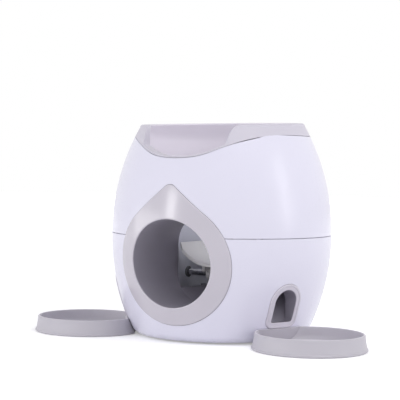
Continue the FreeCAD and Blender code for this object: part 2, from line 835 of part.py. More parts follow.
def chute_form(inset):
    """Duct from the opening in the metering wheel's housing round to the arched outlet."""
    y = pivot_y - wheel_radius
    x_low = wheel_inner + inset
    x_high = wheel_inner + wheel_width - inset
    z_low = pivot_z - housing_window_low - 2 * chute_wall + inset
    z_high = z_low + housing_window + 4 * chute_wall - 2 * inset
    inlet = wire_loop([V(x_low, y, z_low), V(x_high, y, z_low), V(x_high, y, z_high), V(x_low, y, z_high)],
                      {2: V((x_low + x_high) / 2, y, z_high + 0.01)})
    half = outlet_half_width + chute_wall - inset
    low = outlet_bottom - chute_wall + inset
    spring = outlet_top - outlet_half_width

    def at(s, z):
        return FreeCAD.Rotation(Z_AXIS, outlet_azimuth).multVec(V(s, -chute_bend, z))

    mouth = wire_loop([at(-half, low), at(half, low), at(half, spring), at(-half, spring)],
                      {2: at(0, spring + half)})
    bend = Part.makeLoft([inlet, mouth], True, True)
    straight = front_prism(arch(chute_wall - inset), -chute_bend)
    return fused([bend, spun(straight, outlet_azimuth)])


def food_chute(side):
    front = outlet_proud - outlet_front_wall - fit_gap
    chute = chute_form(0).cut(chute_form(chute_wall)).common(barrel_solid(front))
    chute = chute.cut(rod_x(wheel_radius + wheel_gap + housing_wall, 0, beyond))
    return chute if side > 0 else mirrored(chute)


def outlet_bezel(side):
    low = outlet_bottom - outlet_rim - outlet_lip - over
    high = outlet_top + outlet_rim + outlet_lip + over
    flange_in = -casing_wall - fit_gap - bezel_flange_wall
    face = band(outlet_proud, flange_in, low, high).common(arch_prism(outlet_rim, 1))
    flange = band(-casing_wall - fit_gap, flange_in, low, high).common(arch_prism(outlet_rim + outlet_lip, 1))
    seat = arch_prism(chute_wall + fit_gap, 1).common(barrel_solid(outlet_proud - outlet_front_wall))
    bezel = fused([face, flange]).cut([arch_prism(0, 1), seat])
    return bezel if side > 0 else mirrored(bezel)


def base_plate():
    top = casing_bottom + base_wall
    plate = rod(base_radius, casing_bottom, top)
    cuts = []
    for azimuth in foot_azimuths:
        cuts.append(rod(foot_radius, 0, casing_bottom + foot_recess, place(azimuth, foot_circle)))
    for azimuth in base_screw_azimuths:
        spot = place(azimuth, base_screw_circle)
        cuts.append(rod(screw_radius, 0, top + over, spot))
        cuts.append(rod(screw_head + fit_gap, 0, casing_bottom + screw_head_height, spot))
    for x, y in shaft_screw_spots():
        cuts.append(rod(screw_radius, 0, top + over, V(x, y, 0)))
    return plate.cut(cuts)


def rubber_feet():
    top = casing_bottom + foot_recess
    spots = [place(azimuth, foot_circle) for azimuth in foot_azimuths]
    return Part.makeCompound([rod(foot_radius, 0, top, spot) for spot in spots])


def tray(side):
    """Round dish with a flared skirt and a soft rim, cut back to the barrel, where a low wall closes it."""
    middle_r = (tray_base_radius + tray_rim_radius) / 2 - tray_bulge
    wall_foot = tray_lip + tray_bulge
    rim_z = tray_height - tray_rim_round
    bend = tray_rim_round * (1 - math.sqrt(0.5))
    outer = turned([
        (0, 0),
        (tray_base_radius - tray_foot_round, 0),
        (tray_base_radius, tray_foot_round),
        (tray_base_radius, tray_lip),
        (tray_base_radius - tray_bulge, wall_foot),
        ((middle_r, (wall_foot + rim_z) / 2), (tray_rim_radius, rim_z)),
        ((tray_rim_radius - bend, tray_height - bend), (tray_rim_radius - tray_rim_round, tray_height)),
        (0, tray_height),
    ])
    inner = tray_rim_radius - tray_wall
    corner_bend = tray_corner * (1 - math.sqrt(0.5))
    cavity = turned([
        (0, tray_floor),
        (inner - tray_corner, tray_floor),
        ((inner - corner_bend, tray_floor + corner_bend), (inner, tray_floor + tray_corner)),
        (inner, rim_z),
        ((inner + bend, tray_height - bend), (inner + tray_rim_round, tray_height)),
        (inner + tray_rim_round, tray_height + over),
        (0, tray_height + over),
    ])
    spot = place(tray_azimuth, tray_distance)
    outer.translate(spot)
    cavity.translate(spot)
    cavity = cavity.cut(barrel_solid(tray_gap + tray_wall))
    dish = outer.cut(barrel_solid(tray_gap)).cut(cavity)
    return dish if side > 0 else mirrored(dish)


def case_screws():
    seat = seam_height - case_boss_height
    length = 2 * (case_boss_height - blind)
    return Part.makeCompound([screw(place(azimuth, case_boss_circle, seat), Z_AXIS, length)
                              for azimuth in case_boss_azimuths])


def base_screws():
    seat = casing_bottom + screw_head_height
    return Part.makeCompound([screw(place(azimuth, base_screw_circle, seat), Z_AXIS, base_screw_length)
                              for azimuth in base_screw_azimuths])


def drop_shaft_screws():
    seat = casing_bottom + base_wall + shaft_flange_wall
    length = seat - casing_bottom - pin_short / 2
    return Part.makeCompound([screw(V(x, y, seat), DOWN, length) for x, y in shaft_screw_spots()])


def housing_screws():
    seat = housing_face() + housing_ear_wall
    screws = []
    for y, z in ear_spots():
        one = screw(V(seat, y, z), X_AXIS * -1, housing_screw_length)
        screws += [one, mirrored(one)]
    return Part.makeCompound(screws)


def hopper_screws():
    seats = [place(azimuth, hopper_post_circle(), hopper_top) for azimuth in hopper_post_azimuths()]
    return Part.makeCompound([screw(seat, DOWN, hopper_screw_length) for seat in seats])


def bezel_screws():
    return Part.makeCompound([screw(V(x, bezel_screw_seat(x, z), z), Y_AXIS * -1, bezel_screw_length)
                              for x, z in bezel_screw_spots()])


def main():
    os.makedirs("parts", exist_ok=True)
    save("lower_shell", lower_shell())
    save("upper_shell", upper_shell())
    save("top_bowl", top_bowl())
    save("teardrop_bezel", teardrop_bezel())
    save("exit_tunnel", exit_tunnel())
    save("drop_shaft", drop_shaft())
    save("ball_ramp", ball_ramp())
    save("cradle_bumper", cradle_bumper())
    save("ball_cradle", ball_cradle())
    save("counterweight", counterweight())
    save("cradle_shaft", cradle_shaft())
    save("cradle_pin", cradle_pin())
    save("shaft_clips", shaft_clips())
    save("base_plate", base_plate())
    save("rubber_feet", rubber_feet())
    for side, name in ((1, "right"), (-1, "left")):
        save("metering_wheel_" + name, metering_wheel(side))
        save("rotor_housing_" + name, rotor_housing(side))
        save("shaft_bush_" + name, shaft_bush(side))
        save("wheel_pin_" + name, wheel_pin(side))
        save("hopper_" + name, hopper(side))
        save("food_chute_" + name, food_chute(side))
        save("outlet_bezel_" + name, outlet_bezel(side))
        save("tray_" + name, tray(side))
    save("case_screws", case_screws())
    save("base_screws", base_screws())
    save("drop_shaft_screws", drop_shaft_screws())
    save("housing_screws", housing_screws())
    save("hopper_screws", hopper_screws())
    save("bezel_screws", bezel_screws())


main()
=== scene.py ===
import json
import math

import bmesh
import bpy
from mathutils import Matrix, Vector


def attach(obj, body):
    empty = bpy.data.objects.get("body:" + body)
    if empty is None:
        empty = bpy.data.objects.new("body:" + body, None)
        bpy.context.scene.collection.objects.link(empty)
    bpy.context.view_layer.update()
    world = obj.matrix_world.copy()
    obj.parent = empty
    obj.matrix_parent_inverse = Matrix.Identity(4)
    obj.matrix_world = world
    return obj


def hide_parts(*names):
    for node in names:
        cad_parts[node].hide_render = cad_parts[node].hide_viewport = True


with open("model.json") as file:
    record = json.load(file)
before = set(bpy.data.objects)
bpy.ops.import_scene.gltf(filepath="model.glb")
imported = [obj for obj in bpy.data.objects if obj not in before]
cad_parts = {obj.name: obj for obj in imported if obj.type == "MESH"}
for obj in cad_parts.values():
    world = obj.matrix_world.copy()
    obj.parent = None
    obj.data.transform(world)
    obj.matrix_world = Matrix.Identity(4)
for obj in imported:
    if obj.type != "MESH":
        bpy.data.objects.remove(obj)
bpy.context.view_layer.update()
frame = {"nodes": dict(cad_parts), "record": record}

MM = 0.001

# The barrel's curve and the plates that lie on it
BARREL_RADIUS = 100 * MM
BARREL_ARC = 200 * MM
SEAM_HEIGHT = 92.3 * MM
CASING_WALL = 2.6 * MM
FIT_GAP = 0.2 * MM
BEZEL_FLANGE_WALL = 2.0 * MM
TUNNEL_HEIGHT = 69.5 * MM
TUNNEL_RADIUS = 37.9 * MM
TUNNEL_WALL = 2.2 * MM
BEZEL_RADIUS = 53.6 * MM
BEZEL_APEX = 137.0 * MM
BEZEL_APEX_RADIUS = 7.0 * MM
BEZEL_PROUD = 0.8 * MM
BEZEL_LIP = 4.5 * MM
BEZEL_FRONT_WALL = 0.9 * MM
OUTLET_AZIMUTH = math.radians(65.5)
OUTLET_BOTTOM = 18.5 * MM
OUTLET_TOP = 49.0 * MM
OUTLET_HALF_WIDTH = 12.6 * MM
OUTLET_CORNER = 3.0 * MM
OUTLET_RIM = 4.2 * MM
OUTLET_PROUD = 0.8 * MM
OUTLET_LIP = 3.5 * MM
OUTLET_FRONT_WALL = 0.9 * MM
CHUTE_WALL = 1.6 * MM
EDGE_ROUND = 0.6 * MM
HOLE_ROUND = 1.0 * MM
OUTLET_ROUND = 0.55 * MM
OUTLET_BAND = 2.3 * MM
OUTLET_ROLL = 1.0 * MM
OUTLET_STEP = 0.5 * MM
ROUND_STEPS = 4
FACE_STEPS = 10
FACE_MARGIN = 1.5
SHARP_ANGLE = math.radians(40)
NEARLY_ZERO = 1e-9

# Top bowl and the wavy edge that it stands on
EDGE_BACK = 180.7 * MM
EDGE_FRONT = 159.4 * MM
WAVE_HALF_WIDTH = 79 * MM
WAVE_SHARES = (0.0, 0.31, 0.58, 0.79, 1.0)
WAVE_LIFTS = (0.0, 0.14, 0.577, 0.873, 1.0)
RIM_BACK = 195.3 * MM
RIM_DROP = 3.5 * MM
RIM_ROUND_OUT = 2.4 * MM
RIM_ROUND_IN = 1.0 * MM
BOWL_WALL = 2.4 * MM
BOWL_LIFT_GAP = 0.4 * MM
BOWL_FLOOR = 143 * MM
BOWL_SLOPE = math.radians(5.5)
BOWL_HEEL = 12 * MM
COLLAR_GAP = 0.4 * MM
COLLAR_WALL = 5 * MM
COLLAR_FLANGE = 1.6 * MM
COLLAR_HALF_FRONT = 42 * MM
COLLAR_CORNER = 6 * MM
COLLAR_SIDE = 1.5 * MM
COLLAR_REACH = 75 * MM
COLLAR_TURN = math.radians(42)
COLLAR_FADE = math.radians(20)
DROP_RADIUS = 43 * MM
DROP_Y = 7 * MM
DROP_WALL = 2.2 * MM
NECK_BOTTOM = 132 * MM
NECK_ROUND = 1.2 * MM
FLOOR_STEPS = 6
HEEL_STEPS = 8
WALL_STEPS = 8
SLOPE_ROUNDS = 60
FLOOR_START = 0.1
ROUND_SHARE_IN = 0.8
ROUND_SHARE_OUT = 0.75
LEAST_DROP = 1e-6
FRONT_COLUMNS = 18
END_COLUMNS = 40
BACK_COLUMNS = 80

# Surfaces. The scales of the grain and of the slow changes of tone are for each metre.
TONE_SCALE = 14.0
GRAIN_SCALE = 900.0
GRAIN_HEIGHT = 0.4 * MM
NOISE_LOW = 0.3
NOISE_HIGH = 0.7
PLASTIC_IOR = 1.46
COAT_ROUGHNESS = 0.18
UPWARD_FROM = 0.75
UPWARD_FULL = 0.95
INWARD_FROM = -0.6
INWARD_FULL = -0.9
BRUSH_STRETCH = (900.0, 60.0, 900.0)
BRUSH_SHADE = 0.9
BRUSH_SMOOTHER = 0.06
BRUSH_ROUGHER = 0.08

# Floor and light from all round
FLOOR_COLOUR = (0.93, 0.93, 0.94)
FLOOR_SHADE = 0.985
FLOOR_GRAIN_SCALE = 30.0
FLOOR_RADIUS = 6.0
FLOOR_SEGMENTS = 96
FLOOR_DROP = 0.2 * MM
FLOOR_LIFT = 0.33
FLOOR_NEAR = 0.4
FLOOR_FAR = 3.0
WORLD_COLOUR = (0.98, 0.98, 1.0)
HORIZON_LIGHT = 1.50
ZENITH_LIGHT = 0.2
LAMP_AIM_HEIGHT = 0.1

# Camera: it stands to the right of the front, a little above the barrel's middle.
CAMERA_AZIMUTH = math.radians(28.8)
CAMERA_HEIGHT = 150.6 * MM
CAMERA_DISTANCE = 1151.4 * MM
CAMERA_SHIFT = 20.3 * MM
CAMERA_PITCH = math.radians(1.42)
CAMERA_ROLL = math.radians(0.89)
CAMERA_LENS = 113.4
CAMERA_SENSOR = 36.0
CAMERA_NEAREST = 10 * MM


def aim(location, right, up, back):
    """Placing matrix of a camera or lamp, from its place and its three axes."""
    axes = Matrix((right, up, back)).transposed().to_4x4()
    return Matrix.Translation(location) @ axes


def make_camera():
    right = Vector((math.cos(CAMERA_AZIMUTH), math.sin(CAMERA_AZIMUTH), 0))
    ahead = Vector((-math.sin(CAMERA_AZIMUTH), math.cos(CAMERA_AZIMUTH), 0))
    rise = Vector((0, 0, 1))
    location = -right * CAMERA_SHIFT - ahead * CAMERA_DISTANCE + rise * CAMERA_HEIGHT
    look = ahead * math.cos(CAMERA_PITCH) - rise * math.sin(CAMERA_PITCH)
    up = ahead * math.sin(CAMERA_PITCH) + rise * math.cos(CAMERA_PITCH)
    turned_right = right * math.cos(CAMERA_ROLL) + up * math.sin(CAMERA_ROLL)
    turned_up = up * math.cos(CAMERA_ROLL) - right * math.sin(CAMERA_ROLL)
    data = bpy.data.cameras.new("camera")
    data.lens = CAMERA_LENS
    data.sensor_width = CAMERA_SENSOR
    data.clip_start = CAMERA_NEAREST
    camera = bpy.data.objects.new("camera", data)
    camera.matrix_world = aim(location, turned_right, turned_up, -look)
    bpy.context.scene.collection.objects.link(camera)
    bpy.context.scene.camera = camera


# Materials

class Shader:
    """Emptied node tree of a material or a world, to which nodes are added and linked."""

    def __init__(self, owner):
        self.owner = owner
        owner.use_nodes = True
        self.tree = owner.node_tree
        self.tree.nodes.clear()

    def node(self, kind, **values):
        made = self.tree.nodes.new(kind)
        for key, value in values.items():
            setattr(made, key, value)
        return made

    def link(self, source, target):
        self.tree.links.new(source, target)


def noise(shader, coordinates, scale, detail=2.0, roughness=0.5):
    """Uneven share that changes from place to place."""
    made = shader.node("ShaderNodeTexNoise")
    made.inputs["Scale"].default_value = scale
    made.inputs["Detail"].default_value = detail
    made.inputs["Roughness"].default_value = roughness
    shader.link(coordinates, made.inputs["Vector"])
    return made.outputs["Fac"]


def spread(shader, source, low, high):
    """Uneven share, stretched to run from low to high."""
    made = shader.node("ShaderNodeMapRange")
    made.inputs["From Min"].default_value = NOISE_LOW
    made.inputs["From Max"].default_value = NOISE_HIGH
    made.inputs["To Min"].default_value = low
    made.inputs["To Max"].default_value = high
    shader.link(source, made.inputs["Value"])
    return made.outputs["Result"]


def tone(shader, share, first, second):
    """Mix of two plain colours."""
    made = shader.node("ShaderNodeMix", data_type="RGBA")
    made.inputs["A"].default_value = (*first, 1)
    made.inputs["B"].default_value = (*second, 1)
    shader.link(share, made.inputs["Factor"])
    return made.outputs["Result"]


def blend_tone(shader, share, first, second):
    """Mix of a colour that changes from place to place and a plain one."""
    made = shader.node("ShaderNodeMix", data_type="RGBA")
    made.inputs["B"].default_value = (*second, 1)
    shader.link(first, made.inputs["A"])
    shader.link(share, made.inputs["Factor"])
    return made.outputs["Result"]


def shaded(colour, share):
    """Colour made lighter or darker."""
    return tuple(min(1.0, channel * share) for channel in colour)


def facing_share(shader, turned, low, high):
    """Smooth share from 0 to 1 while a measure of the way a face looks goes from low to high."""
    share = shader.node("ShaderNodeMapRange", interpolation_type="SMOOTHSTEP")
    share.inputs["From Min"].default_value = low
    share.inputs["From Max"].default_value = high
    shader.link(turned, share.inputs["Value"])
    return share.outputs["Result"]


def paint_light_on_top(shader, outer, upper):
    """Painted light from above: a lighter upper colour on the faces that look up, outer colour on the rest.
    """
    way = shader.node("ShaderNodeSeparateXYZ")
    shader.link(shader.node("ShaderNodeTexCoord").outputs["Normal"], way.inputs["Vector"])
    share = facing_share(shader, way.outputs["Z"], UPWARD_FROM, UPWARD_FULL)
    return blend_tone(shader, share, outer, upper)


def paint_light_inside(shader, outer, inner):
    """Painted light: a lighter inner colour on the faces that look towards the vertical axis, to make up
    for the shade inside the hollow; outer colour on the rest.
    """
    places = shader.node("ShaderNodeTexCoord")
    flat = shader.node("ShaderNodeVectorMath", operation="MULTIPLY")
    flat.inputs[1].default_value = (1, 1, 0)
    shader.link(places.outputs["Object"], flat.inputs[0])
    away = shader.node("ShaderNodeVectorMath", operation="NORMALIZE")
    shader.link(flat.outputs["Vector"], away.inputs[0])
    turned = shader.node("ShaderNodeVectorMath", operation="DOT_PRODUCT")
    shader.link(away.outputs["Vector"], turned.inputs[0])
    shader.link(places.outputs["Normal"], turned.inputs[1])
    share = facing_share(shader, turned.outputs["Value"], INWARD_FROM, INWARD_FULL)
    return blend_tone(shader, share, outer, inner)


def seen_directly(shader):
    """1 on the rays of the camera, of reflections and of clear materials, 0 on the rest."""
    path = shader.node("ShaderNodeLightPath")
    seen = path.outputs["Is Camera Ray"]
    for ray in ("Is Glossy Ray", "Is Transmission Ray"):
        either = shader.node("ShaderNodeMath", operation="MAXIMUM")
        shader.link(seen, either.inputs[0])
        shader.link(path.outputs[ray], either.inputs[1])
        seen = either.outputs["Value"]
    return seen


def moulded(name, colour, rough, grain, drift, coat=0.0, uneven=0.04, inside=None, above=None):
    """Moulded plastic: a fine grain, slow changes of tone and uneven gloss.

    Faces that look towards the axis may get painted light, a lighter colour against the shade in a hollow,
    and faces that look up may get painted light from above.
    """
    shader = Shader(bpy.data.materials.new(name))
    out = shader.node("ShaderNodeOutputMaterial")
    body = shader.node("ShaderNodeBsdfPrincipled")
    where = shader.node("ShaderNodeTexCoord").outputs["Object"]
    slow = spread(shader, noise(shader, where, TONE_SCALE, detail=3.0), 0.0, 1.0)
    fine = noise(shader, where, GRAIN_SCALE, roughness=0.6)
    mixed = tone(shader, slow, shaded(colour, 1 - drift), shaded(colour, 1 + drift / 2))
    # Painted light: a lighter colour on the faces that look towards the axis, against the shade in the
    # hollow.
    if inside:
        mixed = paint_light_inside(shader, mixed, inside)
    # Painted light from above: a lighter colour on the faces that look up.
    if above:
        mixed = paint_light_on_top(shader, mixed, above)
    shader.link(mixed, body.inputs["Base Color"])
    shader.link(spread(shader, fine, rough - uneven, rough + uneven), body.inputs["Roughness"])
    body.inputs["IOR"].default_value = PLASTIC_IOR
    body.inputs["Coat Weight"].default_value = coat
    body.inputs["Coat Roughness"].default_value = COAT_ROUGHNESS
    bump = shader.node("ShaderNodeBump")
    bump.inputs["Strength"].default_value = grain
    bump.inputs["Distance"].default_value = GRAIN_HEIGHT
    shader.link(fine, bump.inputs["Height"])
    shader.link(bump.outputs["Normal"], body.inputs["Normal"])
    shader.link(body.outputs["BSDF"], out.inputs["Surface"])
    return shader.owner


def metal(name, colour, rough):
    """Steel with fine lines that run from front to back."""
    shader = Shader(bpy.data.materials.new(name))
    out = shader.node("ShaderNodeOutputMaterial")
    body = shader.node("ShaderNodeBsdfPrincipled")
    where = shader.node("ShaderNodeTexCoord").outputs["Object"]
    stretch = shader.node("ShaderNodeMapping")
    stretch.inputs["Scale"].default_value = BRUSH_STRETCH
    shader.link(where, stretch.inputs["Vector"])
    lines = noise(shader, stretch.outputs["Vector"], 1.0, detail=3.0)
    shader.link(tone(shader, lines, shaded(colour, BRUSH_SHADE), colour), body.inputs["Base Color"])
    gloss = spread(shader, lines, rough - BRUSH_SMOOTHER, rough + BRUSH_ROUGHER)
    shader.link(gloss, body.inputs["Roughness"])
    body.inputs["Metallic"].default_value = 1.0
    shader.link(body.outputs["BSDF"], out.inputs["Surface"])
    return shader.owner


PLASTICS = {
    "shell_white": dict(
        colour=(0.715, 0.700, 0.815), rough=0.31, grain=0.03, drift=0.012, coat=0.25),
    # Its inner colour is painted light: lighter than the collar, against the shade inside the bowl.
    "bowl_grey": dict(
        colour=(0.585, 0.560, 0.635), rough=0.50, grain=0.05, drift=0.02, inside=(0.84, 0.80, 0.87)),
    "bezel_grey": dict(
        colour=(0.525, 0.495, 0.560), rough=0.25, grain=0.002, drift=0.02, coat=1.0, uneven=0.01),
    "outlet_frame": dict(
        colour=(0.62, 0.59, 0.66), rough=0.34, grain=0.01, drift=0.02, coat=0.2, uneven=0.01),
    # Its upper colour is painted light from above on the faces that look up.
    "tray_grey": dict(
        colour=(0.510, 0.490, 0.540), rough=0.46, grain=0.04, drift=0.02, above=(0.72, 0.69, 0.75)),
    "tunnel_dark": dict(colour=(0.36, 0.34, 0.40), rough=0.48, grain=0.05, drift=0.05),
    "shaft_grey": dict(colour=(0.84, 0.85, 0.93), rough=0.42, grain=0.04, drift=0.03),
    "inner_grey": dict(colour=(0.42, 0.41, 0.46), rough=0.50, grain=0.05, drift=0.03),
    "inner_clear_grey": dict(colour=(0.48, 0.48, 0.52), rough=0.40, grain=0.03, drift=0.03),
    "cradle_white": dict(colour=(0.86, 0.85, 0.84), rough=0.38, grain=0.03, drift=0.02),
    "bush_grey": dict(colour=(0.16, 0.16, 0.17), rough=0.5, grain=0.02, drift=0.02),
    "base_dark": dict(colour=(0.075, 0.075, 0.082), rough=0.55, grain=0.06, drift=0.05),
    "rubber_black": dict(colour=(0.018, 0.018, 0.020), rough=0.75, grain=0.10, drift=0.08),
}
METALS = {
    "screw_steel": dict(colour=(0.52, 0.52, 0.54), rough=0.32),
    "shaft_steel": dict(colour=(0.60, 0.60, 0.62), rough=0.22),
}
FINISHES = {name: moulded(name, **look) for name, look in PLASTICS.items()}
FINISHES.update({name: metal(name, **look) for name, look in METALS.items()})


def finish_nodes():
    slots = {part["node"]: part["material_slot"] for part in frame["record"]["subparts"]}
    for name, node in frame["nodes"].items():
        node.material_slots[0].material = FINISHES[slots[name]]


# Bezels

def barrel_r(z, offset):
    return BARREL_RADIUS - BARREL_ARC + math.sqrt((BARREL_ARC + offset) ** 2 - (z - SEAM_HEIGHT) ** 2)


def on_barrel(x, z, offset, azimuth):
    """Point on the barrel's curve, moved out by offset, under a front view turned to azimuth."""
    y = -math.sqrt(barrel_r(z, offset) ** 2 - x * x)
    return (x * math.cos(azimuth) - y * math.sin(azimuth), x * math.sin(azimuth) + y * math.cos(azimuth), z)


def teardrop_reach(angle, grow):
    """Distance from the tunnel's axis to the teardrop's outline, at an angle from +X."""
    angle = math.radians(90) - abs(math.remainder(angle - math.radians(90), 2 * math.pi))
    big = BEZEL_RADIUS + grow
    small = BEZEL_APEX_RADIUS + grow
    rise = BEZEL_APEX - BEZEL_APEX_RADIUS - TUNNEL_HEIGHT
    lean = math.asin((big - small) / rise)
    if angle <= lean:
        return big
    if angle < math.atan2(rise + small * math.sin(lean), small * math.cos(lean)):
        return big / math.cos(angle - lean)
    return rise * math.sin(angle) + math.sqrt(small ** 2 - (rise * math.cos(angle)) ** 2)


def circle_reach(angle, grow):
    """Distance from the tunnel's axis to its wall, the same at every angle."""
    return TUNNEL_RADIUS + grow


def arch_reach(angle, grow):
    """Distance from the middle of the arch's round top to its outline."""
    half = OUTLET_HALF_WIDTH + grow
    drop = OUTLET_TOP - OUTLET_HALF_WIDTH - OUTLET_BOTTOM + grow
    corner = OUTLET_CORNER + grow
    if math.sin(angle) >= 0:
        return half
    across = abs(math.cos(angle))
    down = -math.sin(angle)
    if half * down / max(across, NEARLY_ZERO) <= drop - corner:
        return half / across
    if drop * across / down <= half - corner:
        return drop / down
    centre_x = half - corner
    centre_z = drop - corner
    along = centre_x * across + centre_z * down
    return along + math.sqrt(max(0.0, along ** 2 - centre_x ** 2 - centre_z ** 2 + corner ** 2))


def rounded(shape, edge, offset, radius, start, turn):
    """Rings of an arc on an outline.

    The arc's middle lies at edge and offset, and start and turn are in degrees.
    """
    rings = []
    for step in range(ROUND_STEPS + 1):
        angle = math.radians(start + turn * step / ROUND_STEPS)
        rings.append((shape, edge + radius * math.cos(angle), offset + radius * math.sin(angle)))
    return rings


def flange(shape, lip, back, behind, rim):
    """Hidden flange behind the casing's wall, up to the bezel's outer edge."""
    return [(shape, rim + lip, back), (shape, rim + lip, behind), (shape, rim, behind)]


def socket(shape, lip, seat, front, back):
    """Hidden seat that takes the tube's end, from behind the front lip to the back."""
    return [(shape, lip, front), (shape, seat, front), (shape, seat, back)]


def teardrop_rings(back, behind):
    """Cross-section of the teardrop, from its hidden flange over its edge and face into the hole."""
    edge = EDGE_ROUND
    level = BEZEL_PROUD - edge
    rings = flange(teardrop_reach, BEZEL_LIP, back, behind, 0)
    rings += rounded(teardrop_reach, -edge, level, edge, 0, 90)
    rings.append((teardrop_reach, -FACE_MARGIN * edge, BEZEL_PROUD))
    rings.append(None)
    rings.append((circle_reach, FACE_MARGIN * HOLE_ROUND, BEZEL_PROUD))
    rings += rounded(circle_reach, HOLE_ROUND, BEZEL_PROUD - HOLE_ROUND, HOLE_ROUND, 90, 90)
    front = BEZEL_PROUD - BEZEL_FRONT_WALL - HOLE_ROUND
    return rings + socket(circle_reach, 0, TUNNEL_WALL + FIT_GAP, front, back)


def arch_rings(back, behind):
    """Cross-section of an outlet's frame: rounded outer band, small step down, rolled inner band."""
    edge = OUTLET_ROUND
    level = OUTLET_PROUD - edge
    lower = OUTLET_PROUD - OUTLET_STEP
    half = OUTLET_STEP / 2
    rings = flange(arch_reach, OUTLET_LIP, back, behind, OUTLET_RIM)
    rings += rounded(arch_reach, OUTLET_RIM - edge, level, edge, 0, 90)
    rings += rounded(arch_reach, OUTLET_BAND + half, OUTLET_PROUD - half, half, 90, 90)
    rings += rounded(arch_reach, OUTLET_BAND - half, lower + half, half, 0, -90)
    rings += rounded(arch_reach, edge - OUTLET_ROLL, lower - edge, edge, 90, 90)
    front = OUTLET_PROUD - OUTLET_FRONT_WALL - edge
    return rings + socket(arch_reach, -OUTLET_ROLL, CHUTE_WALL + FIT_GAP, front, back)


def plate_rows(rings, angles):
    """Reach and offset at each angle, ring by ring. None stands for a smooth run across the face."""
    rows = []
    for number, ring in enumerate(rings):
        if ring is None:
            outer, outer_grow, offset = rings[number - 1]
            inner, inner_grow, _ = rings[number + 1]
            for step in range(1, FACE_STEPS):
                share = step / FACE_STEPS
                rows.append([
                    ((1 - share) * outer(angle, outer_grow) + share * inner(angle, inner_grow), offset)
                    for angle in angles])
        else:
            shape, grow, offset = ring
            rows.append([(shape(angle, grow), offset) for angle in angles])
    return rows


def make_plate(name, node, finish, centre, azimuth, rings, angles):
    """Bezel on the barrel's curve: a closed skin through its rings."""
    rows = []
    for row in plate_rows(rings, angles):
        rows.append([
            on_barrel(reach * math.cos(angle), centre + reach * math.sin(angle), offset, azimuth)
            for angle, (reach, offset) in zip(angles, row)])
    make_loop_mesh(name, node, "casing", rows, finish)


def make_loop_mesh(name, node, body, rows, finish):
    """Closed skin through rows of points, each row a closed loop and the last row joined to the first."""
    size = len(rows[0])
    faces = []
    for row in range(len(rows)):
        here = row * size
        after = (row + 1) % len(rows) * size
        for column in range(size):
            beside = (column + 1) % size
            faces.append((here + column, here + beside, after + beside, after + column))
    mesh = bpy.data.meshes.new(name)
    mesh.from_pydata([point for row in rows for point in row], [], faces)
    form = bmesh.new()
    form.from_mesh(mesh)
    bmesh.ops.recalc_face_normals(form, faces=form.faces)
    form.to_mesh(mesh)
    form.free()
    mesh.shade_smooth()
    mesh.set_sharp_from_angle(angle=SHARP_ANGLE)
    mesh.materials.append(FINISHES[finish])
    piece = bpy.data.objects.new(name, mesh)
    bpy.context.scene.collection.objects.link(piece)
    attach(piece, body)
    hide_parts(node)


def even_angles(count, dense_at, dense_half, dense_count):
    """Angles round a circle, closer together near one of them."""
    rest = 2 * math.pi - 2 * dense_half
    angles = [dense_at + dense_half + rest * step / count for step in range(count)]
    angles += [dense_at - dense_half + 2 * dense_half * step / dense_count for step in range(dense_count)]
    return angles


def make_bezels():
    behind = -CASING_WALL - FIT_GAP
    back = behind - BEZEL_FLANGE_WALL
    angles = even_angles(
        count=300, dense_at=math.radians(90), dense_half=math.radians(12), dense_count=60)
    rings = teardrop_rings(back, behind)
    make_plate("bezel_teardrop", "teardrop_bezel", "bezel_grey", TUNNEL_HEIGHT, 0.0, rings, angles)
    angles = even_angles(
        count=260, dense_at=math.radians(-90), dense_half=math.radians(75), dense_count=220)
    middle = OUTLET_TOP - OUTLET_HALF_WIDTH
    rings = arch_rings(back, behind)
    for side, way in (("right", 1), ("left", -1)):
        node = "outlet_bezel_" + side
        make_plate("bezel_" + side, node, "outlet_frame", middle, way * OUTLET_AZIMUTH, rings, angles)


# Top bowl

def level_slopes(across, heights):
    """Slopes of the smooth curve through points, level at its two ends."""
    slopes = [0.0] * len(across)
    for _ in range(SLOPE_ROUNDS):
        for i in range(1, len(across) - 1):
            before = across[i] - across[i - 1]
            after = across[i + 1] - across[i]
            pull = (heights[i] - heights[i - 1]) / before ** 2 + (heights[i + 1] - heights[i]) / after ** 2
            pull = 3 * pull - slopes[i - 1] / before - slopes[i + 1] / after
            slopes[i] = pull / (2 / before + 2 / after)
    return slopes


WAVE_SLOPES = level_slopes(WAVE_SHARES, WAVE_LIFTS)


def wave_height(x):
    """Height of the upper shell's wavy edge, in front of the axis."""
    share = min(abs(x) / WAVE_HALF_WIDTH, 1.0)
    i = max(k for k in range(len(WAVE_SHARES) - 1) if WAVE_SHARES[k] <= share)
    span = WAVE_SHARES[i + 1] - WAVE_SHARES[i]
    t = (share - WAVE_SHARES[i]) / span
    lift = (1 + 2 * t) * (1 - t) ** 2 * WAVE_LIFTS[i] + t * t * (3 - 2 * t) * WAVE_LIFTS[i + 1]
    lift += span * t * (1 - t) * ((1 - t) * WAVE_SLOPES[i] - t * WAVE_SLOPES[i + 1])
    return EDGE_FRONT + (EDGE_BACK - EDGE_FRONT) * lift


def smooth(share):
    share = min(1.0, max(0.0, share))
    return share * share * (3 - 2 * share)


def bowl_place(azimuth, radius):
    """Point at a radius. In front the columns keep one x, so that the collar's ends are square."""
    x = COLLAR_REACH * math.sin(azimuth)
    square = 1 - smooth((abs(azimuth) - COLLAR_TURN) / COLLAR_FADE)
    square *= smooth((radius - COLLAR_REACH + BOWL_HEEL) / (BOWL_HEEL - 2 * RIM_ROUND_IN))
    if square > 0 and abs(x) < radius:
        azimuth = square * math.asin(x / radius) + (1 - square) * azimuth
    return Vector((radius * math.sin(azimuth), -radius * math.cos(azimuth), 0))


def seat_height(azimuth, radius):
    """Height of the collar's underside, which follows the shell's wavy edge."""
    here = bowl_place(azimuth, radius)
    edge = wave_height(here.x) if here.y < 0 else EDGE_BACK
    return edge + COLLAR_GAP


